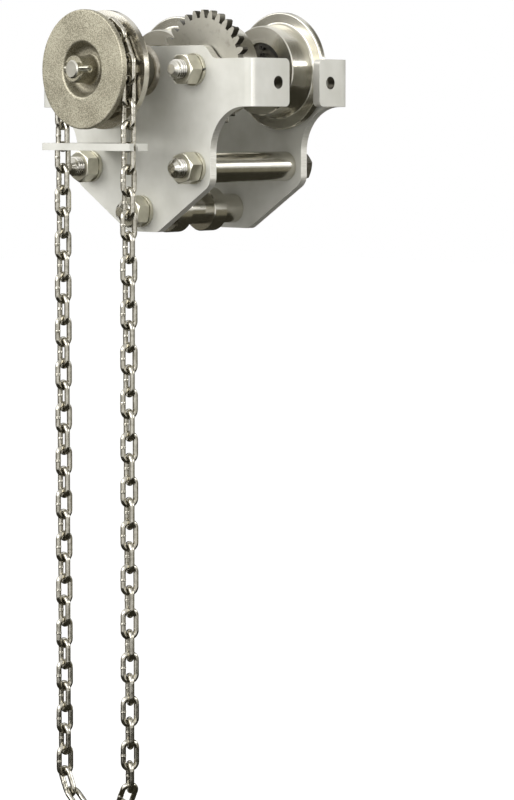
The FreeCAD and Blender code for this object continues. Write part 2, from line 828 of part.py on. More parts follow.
def build():
    first = math.pi / gear_teeth - math.radians(mesh_turn) * pinion_teeth / gear_teeth
    front_wheels = {"left": geared_wheel(first), "right": geared_wheel(math.pi + first)}
    plain = wheel(1, flange_d / 2, flange_edge)
    nodes = {"front_side_plate": front_plate(), "rear_side_plate": rear_plate()}
    nodes.update(wheel_nodes("front", -1, front_wheels, front_in, front_out - front_stud_out))
    nodes.update(wheel_nodes("rear", 1, {"left": plain, "right": plain}, rear_in, rear_out + rear_stud_out))
    nodes["axle_circlips"] = group([moved(axle_circlip(side), x, 0, axle_z)
                                    for side in (-1, 1) for x in wheel_places.values()])
    nut_face = front_out - washer_t
    nodes["nuts_front"] = group([moved(nut(nut_face, nut_face - nut_h, turn), x, 0, z)
                                 for (x, z), turn in zip(stud_places, nut_turns)])
    nodes["nuts_rear"] = group([moved(nut(rear_out, rear_out + nut_h, turn), x, 0, z)
                                for (x, z), turn in zip(stud_places, nut_turns)])
    nodes["lock_washers_front"] = group([moved(spun(lock_washer(), 4 * turn), x, 0, z)
                                         for (x, z), turn in zip(stud_places, nut_turns)])
    nodes["tie_bar_left"] = cross_bar(-tie_half, tie_z)
    nodes["tie_bar_right"] = cross_bar(tie_half, tie_z)
    nodes["load_bar"] = cross_bar(0, load_z)
    near, far = hook_shift - hook_gap / 2, hook_shift + hook_gap / 2
    nodes["load_collar_front"] = load_collar(near - collar_w, near)
    nodes["load_collar_rear"] = load_collar(far, far + collar_w)
    nodes["shaft_housing"] = housing()
    nodes["bush_inner"] = inner_bush()
    nodes["bush_outer"] = outer_bush()
    nodes["pinion_shaft"] = drive_shaft()
    nodes["wheel_key"] = key()
    nodes["hand_chain_wheel"] = hand_chain_wheel()
    nodes["spring_pin"] = spring_pin()
    nodes["chain_guide"] = chain_guide()
    nodes["guide_bracket"] = guide_bracket()
    nodes["guide_bolts"] = group([guide_bolt(x) for x in bolt_places()])
    nodes["hand_chain_over_wheel"] = chain(-calm_links, pockets + calm_links + 1)
    nodes["hand_chain_left_run"] = chain(pockets + calm_links + 1, left_end + 1)
    nodes["hand_chain_bottom_bight"] = chain(left_end + 1, left_end + pockets)
    nodes["hand_chain_right_run"] = chain(left_end + pockets, link_count - calm_links)
    return nodes


os.makedirs("parts", exist_ok=True)
for node, shape in build().items():
    shape.exportStep("parts/" + node + ".step")
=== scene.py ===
import json
import math

import bpy
import numpy as np
from mathutils import Matrix, Vector

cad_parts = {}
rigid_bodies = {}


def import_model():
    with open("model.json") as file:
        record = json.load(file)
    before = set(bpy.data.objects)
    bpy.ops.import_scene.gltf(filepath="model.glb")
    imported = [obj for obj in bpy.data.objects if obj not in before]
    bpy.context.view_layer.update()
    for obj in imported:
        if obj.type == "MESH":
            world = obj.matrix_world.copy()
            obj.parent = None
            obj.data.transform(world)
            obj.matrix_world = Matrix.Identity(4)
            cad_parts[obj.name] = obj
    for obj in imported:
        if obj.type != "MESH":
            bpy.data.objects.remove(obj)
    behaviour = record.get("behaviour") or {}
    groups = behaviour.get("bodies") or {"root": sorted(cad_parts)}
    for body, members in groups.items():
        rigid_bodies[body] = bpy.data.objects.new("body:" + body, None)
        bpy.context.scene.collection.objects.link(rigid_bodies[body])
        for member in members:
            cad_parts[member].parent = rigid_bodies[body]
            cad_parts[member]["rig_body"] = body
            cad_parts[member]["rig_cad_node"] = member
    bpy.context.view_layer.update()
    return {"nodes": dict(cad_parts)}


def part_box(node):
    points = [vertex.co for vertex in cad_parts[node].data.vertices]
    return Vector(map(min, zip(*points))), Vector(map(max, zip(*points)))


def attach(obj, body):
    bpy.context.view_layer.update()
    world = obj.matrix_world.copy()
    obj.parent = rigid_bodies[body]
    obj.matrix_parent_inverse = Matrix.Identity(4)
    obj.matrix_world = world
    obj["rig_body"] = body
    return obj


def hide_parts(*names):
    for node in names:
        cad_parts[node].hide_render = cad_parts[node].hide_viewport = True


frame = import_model()

bl_info = {
    "name": "Geared beam trolley",
    "version": (1, 0, 0),
    "blender": (4, 5, 0),
    "location": "3D View > Sidebar > Trolley",
    "description": "Dresses the geared beam trolley with its finishes, threads, welds and hand chain",
    "category": "Add Mesh",
}

MM = 0.001
WHEELS = ("front_left", "front_right", "rear_left", "rear_right")
CHAIN = ("hand_chain_over_wheel", "hand_chain_left_run", "hand_chain_bottom_bight", "hand_chain_right_run")

# Plates: the ear holes as (y, z), and where the flat face ends and the bent ears begin
EAR_HOLES = (Vector((-41.7 * MM, 37.3 * MM)), Vector((43.2 * MM, 37.3 * MM)))
EAR_HOLE_REACH = 7.2 * MM
EAR_THICKNESS = 10 * MM
BEND_RADIUS = 18 * MM
BEND_MIDDLE = 9 * MM
GUIDE_EDGE = 0.7 * MM

# Shares of a face's normal that tell cut edges and hole walls from the rolled faces
HOLE_WALL = 0.3
UPRIGHT = 0.5
SIDEWAYS = 0.7

# Threaded ends, bars and axles
STUD_RADIUS = 11 * MM
POINT_RADIUS = 6 * MM
POINT_ROUND = 0.6 * MM
BAR_EDGE = 0.6 * MM
AXLE_RADIUS = 15 * MM
AXLE_EDGE = 0.6 * MM
CLIP_GROOVE_RADIUS = 14.3 * MM
CLIP_GROOVE_WIDTH = 1.5 * MM
FLANK_SHARE = 0.44
CREST_SHARE = 0.12
THREAD_STEPS = 40

# Wheels: the gear flange, and the chain wheel's face, dish (where its shade is painted) and rear rim
FLANGE_WIDTH = 8.5 * MM
FLANGE_BLEND = 0.3 * MM
DISH_FACE = 13.3 * MM
DISH_DEPTH = 9 * MM
DISH_RADIUS = 31 * MM
DISH_FLOOR_RADIUS = 25 * MM
REAR_RIM = 43 * MM
RIM_BLEND = 0.5 * MM

# Weld bead round the housing: (out, up) shares of its leg, and how far it sinks into both pieces
BEAD_SHARES = ((0.25, 0.86), (0.5, 0.64), (0.72, 0.4), (0.9, 0.16))
BEAD_SINK = 0.3 * MM
BEAD_ROOT = 0.2 * MM

# Hand chain: radius of the wire, and the side that the links' butt welds face
WIRE_RADIUS = 3 * MM
WELD_SIDE = Vector((-1, -0.6, 0.05))

# Distances under which vertices count as one, and angles in degrees under which faces count as flat or smooth
MERGE = 0.002 * MM
SCREW_MERGE = 0.001 * MM
FLAT_ANGLE = 0.5
SHARP_ANGLE = 40

# Studio: lamps (place, size, power) that point at the origin, and cards (place, target, size, colour)
FLOOR_LEVEL = -1.6
FLOOR_SIZE = 40
FLOOR_GLOW = 0.62
WORLD_LEVEL = 0.45
LAMPS = {
    "key_softbox": ((-0.4, -2.7, 0.9), (2.4, 1.6), 55),
    "side_softbox": ((1.3, -2.5, 0.7), (1.0, 1.0), 11),
    "left_softbox": ((-2.1, -2.0, 1.7), (2.4, 1.2), 18),
    "fill_softbox": ((2.9, 1.05, 1.1), (1.8, 1.8), 32),
    "strip_softbox": ((2.1, 2.1, 0.66), (1.6, 0.5), 10),
}
CARDS = {
    "back_card": ((-2.6, 2.5, 0.2), (0, 0, -0.1), (7.4, 3.0), "34322C"),
    "low_card": ((0.3, 0.2, -1.2), (0.3, 0.2, 0), (5.0, 5.0), "3A382F"),
    "front_card": ((-2.9, -2.8, -0.5), (0, 0, 0), (4.4, 2.2), "7C786C"),
    "skirt_card": ((1.9, 1.8, -0.85), (0, 0, -0.1), (3.4, 1.5), "858171"),
    "high_card": ((1.2, 1.9, 1.6), (0, 0, 0), (4.0, 1.6), "77746A"),
}

# Camera: focal length and optical centre in pixels of the 514 x 800 picture, place and turns
PICTURE_HEIGHT = 800
FOCAL_PIXELS = 2549.4
CENTRE_ROW = 240
SENSOR_HEIGHT = 36.0
CAMERA_PLACE = Vector((2.0776, -2.0722, -0.0029))
CAMERA_TURN = math.radians(43.596)
CAMERA_RISE = math.radians(2.711)


class TrolleySizes(bpy.types.PropertyGroup):
    """Sizes of the details that the finished trolley carries."""
    edge_break: bpy.props.FloatProperty(
        name="Edge break", description="Rounding of the cut plate edges", default=1.4 * MM, unit="LENGTH")
    thread_pitch: bpy.props.FloatProperty(
        name="Thread pitch", description="Pitch of the threaded ends", default=3.0 * MM, unit="LENGTH")
    thread_depth: bpy.props.FloatProperty(
        name="Thread depth", description="Depth of the thread", default=1.5 * MM, unit="LENGTH")
    plate_thickness: bpy.props.FloatProperty(
        name="Plate thickness", description="Thickness of the side plates", default=10.0 * MM, unit="LENGTH")
    weld_size: bpy.props.FloatProperty(
        name="Weld size", description="Leg of the weld bead round the shaft housing", default=4.5 * MM, unit="LENGTH")
    link_weld_rise: bpy.props.FloatProperty(
        name="Link weld", description="How far the weld of a chain link stands proud", default=0.25 * MM,
        unit="LENGTH")


class TrolleyColours(bpy.types.PropertyGroup):
    """Colours of the finishes, as sRGB hex values."""
    plate_light: bpy.props.StringProperty(
        name="Plate, light", description="Light part of the blasted plate", default="D6D5CE")
    plate_dark: bpy.props.StringProperty(
        name="Plate, dark", description="Dark part of the blasted plate", default="C3C2B9")
    cast_light: bpy.props.StringProperty(
        name="Cast wheel, light", description="Light grains of the cast chain wheel", default="BCB7A4")
    cast_dark: bpy.props.StringProperty(
        name="Cast wheel, dark", description="Dark grains of the cast chain wheel", default="7F7A69")
    bar: bpy.props.StringProperty(
        name="Ground bar", description="Colour of the ground bars", default="CFCCC2")
    chain: bpy.props.StringProperty(
        name="Hand chain", description="Colour of the chain's drawn wire", default="C6C2B6")
    fastener: bpy.props.StringProperty(
        name="Front nuts", description="Colour of the nuts and washers in front", default="D6D3C4")


def linear(hexa):
    """sRGB hex value as a linear colour."""
    parts = [int(hexa[i:i + 2], 16) / 255 for i in (0, 2, 4)]
    return [c / 12.92 if c <= 0.04045 else ((c + 0.055) / 1.055) ** 2.4 for c in parts] + [1.0]


def add(tree, kind, sockets, **settings):
    """Adds a node; a socket is given a value, or linked where it is given an output."""
    node = tree.nodes.new(kind)
    for key, value in settings.items():
        setattr(node, key, value)
    for key, value in sockets.items():
        if isinstance(value, bpy.types.NodeSocket):
            tree.links.new(value, node.inputs[key])
        else:
            node.inputs[key].default_value = value
    return node


def maths(tree, operation, *values, **settings):
    """Output of a Math node; each value is a number or an output."""
    return add(tree, "ShaderNodeMath", dict(enumerate(values)), operation=operation, **settings).outputs[0]


def vectors(tree, operation, *values):
    """Vector Math node; each value is a vector or an output."""
    return add(tree, "ShaderNodeVectorMath", dict(enumerate(values)), operation=operation).outputs


def spread(tree, value, low, high, to_low=0.0, to_high=1.0):
    """Value mapped from the span low to high onto the span to_low to to_high, and held within it."""
    return add(tree, "ShaderNodeMapRange", {
        "Value": value, "From Min": low, "From Max": high, "To Min": to_low, "To Max": to_high}).outputs["Result"]


def mixed(tree, factor, first, second):
    """Mix of two colours."""
    return add(tree, "ShaderNodeMix", {"Factor": factor, 6: first, 7: second}, data_type="RGBA").outputs[2]


def speckle(tree, place, grain, detail, roughness=0.5, dimensions="3D"):
    """Noise with grains of about the given length."""
    return add(tree, "ShaderNodeTexNoise", {
        "Vector": place, "Scale": 1 / grain, "Detail": detail, "Roughness": roughness},
        noise_dimensions=dimensions).outputs["Fac"]


def drawn_out(tree, place, lengths, detail):
    """Noise drawn out into lines, with the lengths of its grains along X, Y and Z."""
    scaled = add(tree, "ShaderNodeMapping", {"Vector": place, "Scale": tuple(1 / length for length in lengths)})
    return speckle(tree, scaled.outputs["Vector"], 1.0, detail)


def ramp(tree, factor, stops):
    """Colour ramp through (position, hex) stops."""
    node = add(tree, "ShaderNodeValToRGB", {"Fac": factor})
    for element, (place, colour) in zip(
            list(node.color_ramp.elements) + [node.color_ramp.elements.new(0.5) for _ in stops[2:]], stops):
        element.position = place
        element.color = linear(colour)
    return node.outputs["Color"]


def blank(name, metallic):
    """New material: its node tree, its shader and its Object coordinates."""
    material = bpy.data.materials.new(name)
    material.use_nodes = True
    tree = material.node_tree
    shader = tree.nodes["Principled BSDF"]
    shader.inputs["Metallic"].default_value = metallic
    return material, tree, shader, add(tree, "ShaderNodeTexCoord", {}).outputs["Object"]


def finish_surface(tree, shader, colour, rough, rough_span, height, depth):
    """Links colour, roughness and height to the shader."""
    tree.links.new(colour, shader.inputs["Base Color"])
    tree.links.new(spread(tree, rough, 0.0, 1.0, *rough_span), shader.inputs["Roughness"])
    bump = add(tree, "ShaderNodeBump", {"Height": height, "Distance": depth, "Strength": 1.0})
    tree.links.new(bump.outputs["Normal"], shader.inputs["Normal"])


def blasted_stainless_sheet():
    """Stainless sheet, bead-blasted and pickled: a pale, even satin with soft clouds. The fine craters scatter
    about half of the light, which one rough reflection can't give, so the surface is only half metallic."""
    colours = bpy.context.scene.trolley_colours
    material, tree, shader, place = blank("blasted_stainless_sheet", 0.45)
    cloud = speckle(tree, place, 45 * MM, 3.0, 0.55)
    grain = speckle(tree, place, 0.9 * MM, 2.0)
    colour = ramp(tree, cloud, [(0.3, colours.plate_dark), (0.72, colours.plate_light)])
    finish_surface(tree, shader, colour, cloud, (0.60, 0.70), grain, 0.02 * MM)
    return material


def laser_cut_stainless_edge():
    """Laser-cut and broken edge of the sheet: drag lines run through the thickness, a little darker than the face."""
    material, tree, shader, place = blank("laser_cut_stainless_edge", 0.8)
    lines = drawn_out(tree, place, (0.8 * MM, 12 * MM, 0.8 * MM), 2.0)
    colour = ramp(tree, lines, [(0.3, "C9C7BE"), (0.7, "DEDCD5")])
    finish_surface(tree, shader, colour, lines, (0.42, 0.55), lines, 0.03 * MM)
    return material


def drilled_stainless_hole():
    """Wall of a drilled hole, with rings from the drill, painted dark as painted shade down the hole."""
    material, tree, shader, place = blank("drilled_stainless_hole", 1.0)
    rings = drawn_out(tree, place, (0.6 * MM, 9 * MM, 9 * MM), 2.0)
    # Painted shade: dark grey 4E4B43 to 6E6B62 on the hole wall
    colour = ramp(tree, rings, [(0.3, "4E4B43"), (0.7, "6E6B62")])
    finish_surface(tree, shader, colour, rings, (0.30, 0.45), rings, 0.03 * MM)
    return material


def satin_ground_stainless():
    """Thick-walled stainless tube with a fine ground satin, warmer than the plates, painted darker as painted shade and
    reflection of the dark wheel back.
    """
    material, tree, shader, place = blank("satin_ground_stainless", 1.0)
    lines = drawn_out(tree, place, (14 * MM, 0.7 * MM, 0.7 * MM), 3.0)
    # Painted shade and reflection: grey 7E7B70 to 969388, darker than the tube's steel
    colour = ramp(tree, lines, [(0.3, "7E7B70"), (0.7, "969388")])
    finish_surface(tree, shader, colour, lines, (0.18, 0.28), lines, 0.012 * MM)
    return material


def centreless_ground_stainless_bar():
    """Centreless-ground stainless bar: near-mirror, with fine lines round the bar that streak the highlights."""
    colours = bpy.context.scene.trolley_colours
    material, tree, shader, place = blank("centreless_ground_stainless_bar", 1.0)
    lines = drawn_out(tree, place, (30 * MM, 0.6 * MM, 30 * MM), 3.0)
    smear = speckle(tree, place, 25 * MM, 2.0)
    colour = ramp(tree, smear, [(0.3, "BEBBB0"), (0.7, colours.bar)])
    finish_surface(tree, shader, colour, lines, (0.15, 0.25), lines, 0.004 * MM)
    return material


def pressed_stainless_fastener():
    """Pressed stainless nuts and washers: satin with a few handling marks."""
    colours = bpy.context.scene.trolley_colours
    material, tree, shader, place = blank("pressed_stainless_fastener", 1.0)
    marks = speckle(tree, place, 14 * MM, 2.0)
    colour = ramp(tree, marks, [(0.32, "BFBCAD"), (0.62, colours.fastener)])
    finish_surface(tree, shader, colour, marks, (0.28, 0.38), marks, 0.01 * MM)
    return material


def dulled_steel_fastener():
    """Rear nuts: a darker grey copy of the nut finish, painted shade where they face away from the light."""
    material, tree, shader, place = blank("dulled_steel_fastener", 1.0)
    marks = speckle(tree, place, 5 * MM, 6.0, 0.65)
    # Painted shade: grey 6F6C64 to 8E8B82, darker than the front nuts
    colour = ramp(tree, marks, [(0.3, "6F6C64"), (0.7, "8E8B82")])
    finish_surface(tree, shader, colour, marks, (0.30, 0.48), marks, 0.05 * MM)
    return material


def cut_stainless_thread():
    """Cut thread: painted highlights on the crests and painted shade in the roots."""
    material, tree, shader, place = blank("cut_stainless_thread", 1.0)
    marks = speckle(tree, place, 3 * MM, 4.0)
    form = add(tree, "ShaderNodeNewGeometry", {})
    # Painted shade and highlight: by pointiness, the roots are painted near black and the crests near white
    colour = ramp(tree, form.outputs["Pointiness"], [(0.45, "26241F"), (0.50, "A9A598"), (0.54, "ECE9E0")])
    finish_surface(tree, shader, colour, marks, (0.16, 0.30), marks, 0.004 * MM)
    return material


def lathe_turned_stainless():
    """Wheels turned on a lathe: bright treads with fine rings about each axle, and a duller milled gear flange
    with stains on its face and the sides of its teeth coloured darker."""
    material, tree, shader, place = blank("lathe_turned_stainless", 1.0)
    low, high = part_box("axle_front_right")
    axle_x, axle_z = (low.x + high.x) / 2, (low.z + high.z) / 2
    split = add(tree, "ShaderNodeSeparateXYZ", {"Vector": place}).outputs
    across = maths(tree, "SUBTRACT", maths(tree, "ABSOLUTE", split["X"]), axle_x)
    lean = maths(tree, "MULTIPLY", across, maths(tree, "SIGN", split["X"]))
    up = maths(tree, "SUBTRACT", split["Z"], axle_z)
    radial = add(tree, "ShaderNodeCombineXYZ", {"X": across, "Y": up}).outputs[0]
    radius = vectors(tree, "LENGTH", radial)["Value"]
    section = add(tree, "ShaderNodeCombineXYZ", {"X": radius, "Y": split["Y"]}).outputs[0]
    rings = speckle(tree, section, 0.8 * MM, 3.0, dimensions="2D")
    cloud = speckle(tree, place, 30 * MM, 3.0)
    bright = ramp(tree, cloud, [(0.3, "C6C3B7"), (0.7, "D8D5CA")])
    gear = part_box("wheel_front_right")[0].y + FLANGE_WIDTH
    milled = spread(tree, split["Y"], gear, gear - FLANGE_BLEND, to_high=0.5)
    normal = add(tree, "ShaderNodeNewGeometry", {}).outputs["Normal"]
    facing = maths(tree, "ABSOLUTE", add(tree, "ShaderNodeSeparateXYZ", {"Vector": normal}).outputs["Y"])
    flank = spread(tree, facing, 0.6, 0.3, to_high=1.7)
    # On the gear flange, faces that don't face along the axle, the teeth's sides, are mixed towards dark 3B382F
    oily = maths(tree, "MULTIPLY", flank, milled)
    spots = speckle(tree, place, 9 * MM, 5.0, 0.6)
    stain = maths(tree, "MULTIPLY", spread(tree, spots, 0.55, 0.72, 0.9, 1.3), milled)
    rough = maths(tree, "MULTIPLY_ADD", rings, 0.25, milled)
    dull = mixed(tree, stain, bright, linear("6C695F"))
    oiled = mixed(tree, oily, dull, linear("3B382F"))
    finish_surface(tree, shader, oiled, rough, (0.17, 0.52), rings, 0.003 * MM)
    spoke = add(tree, "ShaderNodeCombineXYZ", {"X": lean, "Z": up}).outputs[0]
    round_axle = vectors(tree, "CROSS_PRODUCT", (0, 1, 0), spoke)[0]
    groove = add(tree, "ShaderNodeVectorTransform", {"Vector": round_axle},
                 convert_from="OBJECT", convert_to="WORLD").outputs[0]
    tree.links.new(vectors(tree, "CROSS_PRODUCT", normal, groove)[0], shader.inputs["Tangent"])
    tree.links.new(maths(tree, "MULTIPLY_ADD", milled, -1.3, 0.75), shader.inputs["Anisotropic"])
    return material


def turned_axle_steel():
    """Turned and threaded ends of axles and shaft: bright, with fine lines round them."""
    material, tree, shader, place = blank("turned_axle_steel", 1.0)
    lines = drawn_out(tree, place, (20 * MM, 0.7 * MM, 20 * MM), 3.0)
    colour = ramp(tree, lines, [(0.3, "C0BDB2"), (0.7, "D6D3C9")])
    finish_surface(tree, shader, colour, lines, (0.28, 0.42), lines, 0.008 * MM)
    return material


def ground_bearing_steel():
    """Hardened and ground bearing rings and balls, seen only down the wheel's bore and coloured dark grey."""
    material, tree, shader, place = blank("ground_bearing_steel", 1.0)
    film = speckle(tree, place, 8 * MM, 4.0)
    colour = ramp(tree, film, [(0.3, "4A4843"), (0.7, "6A675F")])
    finish_surface(tree, shader, colour, film, (0.25, 0.42), film, 0.02 * MM)
    return material


def phosphated_spring_steel():
    """Phosphated spring steel of the circlips: nearly black, with a dull sheen."""
    material, tree, shader, place = blank("phosphated_spring_steel", 0.8)
    film = speckle(tree, place, 4 * MM, 4.0)
    colour = ramp(tree, film, [(0.3, "2B2A27"), (0.7, "46443F")])
    finish_surface(tree, shader, colour, film, (0.35, 0.5), film, 0.02 * MM)
    return material


def sintered_bronze():
    """Sintered bronze of the flanged bushes: warm, matt and finely porous."""
    material, tree, shader, place = blank("sintered_bronze", 1.0)
    pores = speckle(tree, place, 0.7 * MM, 3.0)
    colour = ramp(tree, pores, [(0.3, "7A5B34"), (0.7, "A88350")])
    finish_surface(tree, shader, colour, pores, (0.38, 0.55), pores, 0.04 * MM)
    return material


def shot_blasted_cast_stainless():
    """Investment-cast and shot-blasted stainless: a sandy grain with khaki speckle, with painted shade down in the
    dish, and a back rim that was turned bright."""
    colours = bpy.context.scene.trolley_colours
    material, tree, shader, place = blank("shot_blasted_cast_stainless", 1.0)
    low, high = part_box("hand_chain_wheel")
    middle = Vector((low.x + high.x, 0, low.z + high.z)) / 2
    face, rim = low.y + DISH_FACE, low.y + REAR_RIM
    depth = add(tree, "ShaderNodeSeparateXYZ", {"Vector": place}).outputs["Y"]
    flat = add(tree, "ShaderNodeMapping", {"Vector": place, "Location": -middle, "Scale": (1, 0, 1)})
    radius = vectors(tree, "LENGTH", flat.outputs["Vector"])["Value"]
    inside = spread(tree, radius, DISH_RADIUS, DISH_FLOOR_RADIUS)
    sunk = spread(tree, depth, face, face + DISH_DEPTH, to_high=0.45)
    dish = maths(tree, "MULTIPLY", inside, sunk)
    bright = spread(tree, depth, rim, rim + RIM_BLEND)
    grain = speckle(tree, place, 1.3 * MM, 3.0, 0.7)
    cloud = speckle(tree, place, 35 * MM, 2.0)
    blend = maths(tree, "MULTIPLY_ADD", cloud, 0.25, grain)
    colour = ramp(tree, blend, [(0.52, colours.cast_dark), (0.72, colours.cast_light)])
    # Painted shade: the colour is mixed towards dark brown 4A4438 down in the dish, where shade falls
    soot = mixed(tree, dish, colour, linear("4A4438"))
    turned = mixed(tree, bright, soot, linear("CFCBC0"))
    calm = maths(tree, "SUBTRACT", grain, bright, use_clamp=True)
    finish_surface(tree, shader, turned, calm, (0.24, 0.80), calm, 0.16 * MM)
    return material


def barrel_polished_stainless_wire():
    """Drawn and barrel-polished stainless wire: a near mirror with small dents from rubbing links."""
    colours = bpy.context.scene.trolley_colours
    material, tree, shader, place = blank("barrel_polished_stainless_wire", 1.0)
    dents = speckle(tree, place, 5 * MM, 3.0)
    colour = ramp(tree, dents, [(0.3, "9C988B"), (0.6, colours.chain)])
    finish_surface(tree, shader, colour, dents, (0.12, 0.22), dents, 0.02 * MM)
    return material


def as_laid_stainless_weld():
    """Weld bead left as laid: rippled, with straw and grey heat tints."""
    material, tree, shader, place = blank("as_laid_stainless_weld", 1.0)
    tint = speckle(tree, place, 7 * MM, 4.0)
    colour = ramp(tree, tint, [(0.3, "8C8577"), (0.55, "B9B29F"), (0.75, "C9C5B8")])
    finish_surface(tree, shader, colour, tint, (0.24, 0.42), tint, 0.06 * MM)
    return material


def finish(make):
    """Material of a finish, made the first time that it is asked for."""
    return bpy.data.materials.get(make.__name__) or make()


def dress(make, *nodes):
    """Gives CAD nodes a finish."""
    material = finish(make)
    for node in nodes:
        mesh = frame["nodes"][node].data
        mesh.materials.clear()
        mesh.materials.append(material)


def alone(piece):
    """Selects a piece alone and makes it the active one."""
    bpy.ops.object.select_all(action="DESELECT")
    piece.select_set(True)
    bpy.context.view_layer.objects.active = piece


def begin(kind, **settings):
    """Adds a primitive with nothing else selected."""
    bpy.ops.object.select_all(action="DESELECT")
    getattr(bpy.ops.mesh, f"primitive_{kind}_add")(**settings)
    return bpy.context.object


def settle(piece, name, make, angle=32):
    """Puts a modelled piece at the origin, closes it and smooths it by angle."""
    alone(piece)
    bpy.ops.object.transform_apply(location=True, rotation=True, scale=True)
    bpy.ops.object.mode_set(mode="EDIT")
    bpy.ops.mesh.select_all(action="SELECT")
    bpy.ops.mesh.remove_doubles(threshold=MERGE)
    bpy.ops.mesh.normals_make_consistent(inside=False)
    bpy.ops.object.mode_set(mode="OBJECT")
    bpy.ops.object.shade_smooth_by_angle(angle=math.radians(angle))
    piece.name = name
    piece.data.name = name
    piece.data.materials.clear()
    piece.data.materials.append(finish(make))
    return piece


def applied(piece, kind, **settings):
    """Adds a modifier to a piece and applies it."""
    alone(piece)
    modifier = piece.modifiers.new(kind.lower(), kind)
    for key, value in settings.items():
        setattr(modifier, key, value)
    bpy.ops.object.modifier_apply(modifier=modifier.name)
    return piece


def joined(pieces):
    """Joins pieces into the first one."""
    bpy.ops.object.select_all(action="DESELECT")
    for piece in pieces:
        piece.select_set(True)
    bpy.context.view_layer.objects.active = pieces[0]
    bpy.ops.object.join()
    return pieces[0]


def free_copy(node):
    """Copy of a CAD node that is free of its body, selected alone."""
    piece = frame["nodes"][node].copy()
    piece.data = piece.data.copy()
    piece.parent = None
    bpy.context.scene.collection.objects.link(piece)
    alone(piece)
    return piece


def discard(piece):
    """Removes a piece and its mesh."""
    mesh = piece.data
    bpy.data.objects.remove(piece)
    bpy.data.meshes.remove(mesh)


def first_point(place):
    """New piece of one point, left in edit mode to be extruded."""
    piece = begin("plane", size=1 * MM, location=place)
    bpy.ops.object.mode_set(mode="EDIT")
    bpy.ops.mesh.merge(type="CENTER")
    return piece


def draw_on(radius_step, y_step):
    """Extrudes the selected point."""
    bpy.ops.mesh.extrude_vertices_move(TRANSFORM_OT_translate={"value": (radius_step, y_step, 0)})


def drawn_round(points, x, z, steps=72):
    """Profile of (radius, y) points drawn by extruding one point, then spun about an axis along Y."""
    piece = first_point((x + points[0][0], points[0][1], z))
    for (r0, y0), (r1, y1) in zip(points, points[1:]):
        draw_on(r1 - r0, y1 - y0)
    bpy.ops.mesh.select_all(action="SELECT")
    bpy.ops.mesh.spin(steps=steps, angle=2 * math.pi, center=(x, 0, z), axis=(0, 1, 0))
    bpy.ops.object.mode_set(mode="OBJECT")
    return piece


def thread(sizes, y0, y1, x, z, tip):
    """Helical thread between y0 and y1: one tooth drawn by extruding a point, then screwed along Y.
    At the free end, tip, its crests fade into the cone of the point."""
    depth = sizes.thread_depth
    turns = max(1, round((y1 - y0) / sizes.thread_pitch))
    step = (y1 - y0) / turns
    piece = first_point((x + STUD_RADIUS - depth, y0, z))
    for rise, share in ((depth, FLANK_SHARE), (0, CREST_SHARE), (-depth, FLANK_SHARE)):
        draw_on(rise, step * share)
    bpy.ops.object.mode_set(mode="OBJECT")
    bpy.ops.object.transform_apply(location=True, rotation=True, scale=True)
    piece.data.transform(Matrix.Translation((-x, 0, -z)))
    applied(piece, "SCREW", axis="Y", angle=2 * math.pi, screw_offset=step, iterations=turns, steps=THREAD_STEPS,
            render_steps=THREAD_STEPS, use_merge_vertices=True, merge_threshold=SCREW_MERGE, use_normal_calculate=True)
    for vertex in piece.data.vertices:
        reach = math.hypot(vertex.co.x, vertex.co.z)
        limit = min(reach, POINT_RADIUS + abs(vertex.co.y - tip))
        vertex.co.x *= limit / reach
        vertex.co.z *= limit / reach
    piece.data.transform(Matrix.Translation((x, 0, z)))
    return piece


def broken_edges(node, width, make, segments=3):
    """Merged copy of a CAD node with its sharp edges rounded and its flats kept flat."""
    piece = free_copy(node)
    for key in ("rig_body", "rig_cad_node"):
        del piece[key]
    bpy.ops.mesh.customdata_custom_splitnormals_clear()
    bpy.ops.object.mode_set(mode="EDIT")
    bpy.ops.mesh.select_all(action="SELECT")
    bpy.ops.mesh.remove_doubles(threshold=MERGE)
    bpy.ops.mesh.dissolve_limited(angle_limit=math.radians(FLAT_ANGLE))
    bpy.ops.object.mode_set(mode="OBJECT")
    applied(piece, "BEVEL", width=width, segments=segments, limit_method="ANGLE", angle_limit=math.radians(SHARP_ANGLE),
            use_clamp_overlap=True, harden_normals=False)
    settle(piece, node + "_broken_edges", make, angle=SHARP_ANGLE)
    return applied(piece, "WEIGHTED_NORMAL", mode="FACE_AREA", keep_sharp=True, weight=50)


class TROLLEY_OT_plates(bpy.types.Operator):
    """Rounds the edges of the side plates and gives them blasted faces and cut edges"""
    bl_idname = "trolley.plates"
    bl_label = "Side plates"

    def execute(self, context):
        sizes = context.scene.trolley_sizes
        for node in ("front_side_plate", "rear_side_plate"):
            piece = broken_edges(node, sizes.edge_break, blasted_stainless_sheet, segments=4)
            piece.data.materials.append(finish(laser_cut_stainless_edge))
            piece.data.materials.append(finish(drilled_stainless_hole))
            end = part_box(node)[1].x
            bend = end - BEND_RADIUS
            for face in piece.data.polygons:
                x, across, up = abs(face.center.x), abs(face.normal.y), abs(face.normal.z)
                from_hole = min((hole - face.center.yz).length for hole in EAR_HOLES)
                in_hole = from_hole < EAR_HOLE_REACH and abs(face.normal.x) < HOLE_WALL
                if end - EAR_THICKNESS < x < end and in_hole:
                    # The ear hole walls take the hole finish, which carries painted shade
                    face.material_index = 2
                elif up > UPRIGHT or (x < bend and across < SIDEWAYS) or (x > bend + BEND_MIDDLE and across > SIDEWAYS):
                    face.material_index = 1
            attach(piece, "frame")
            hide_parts(node)
        return {"FINISHED"}


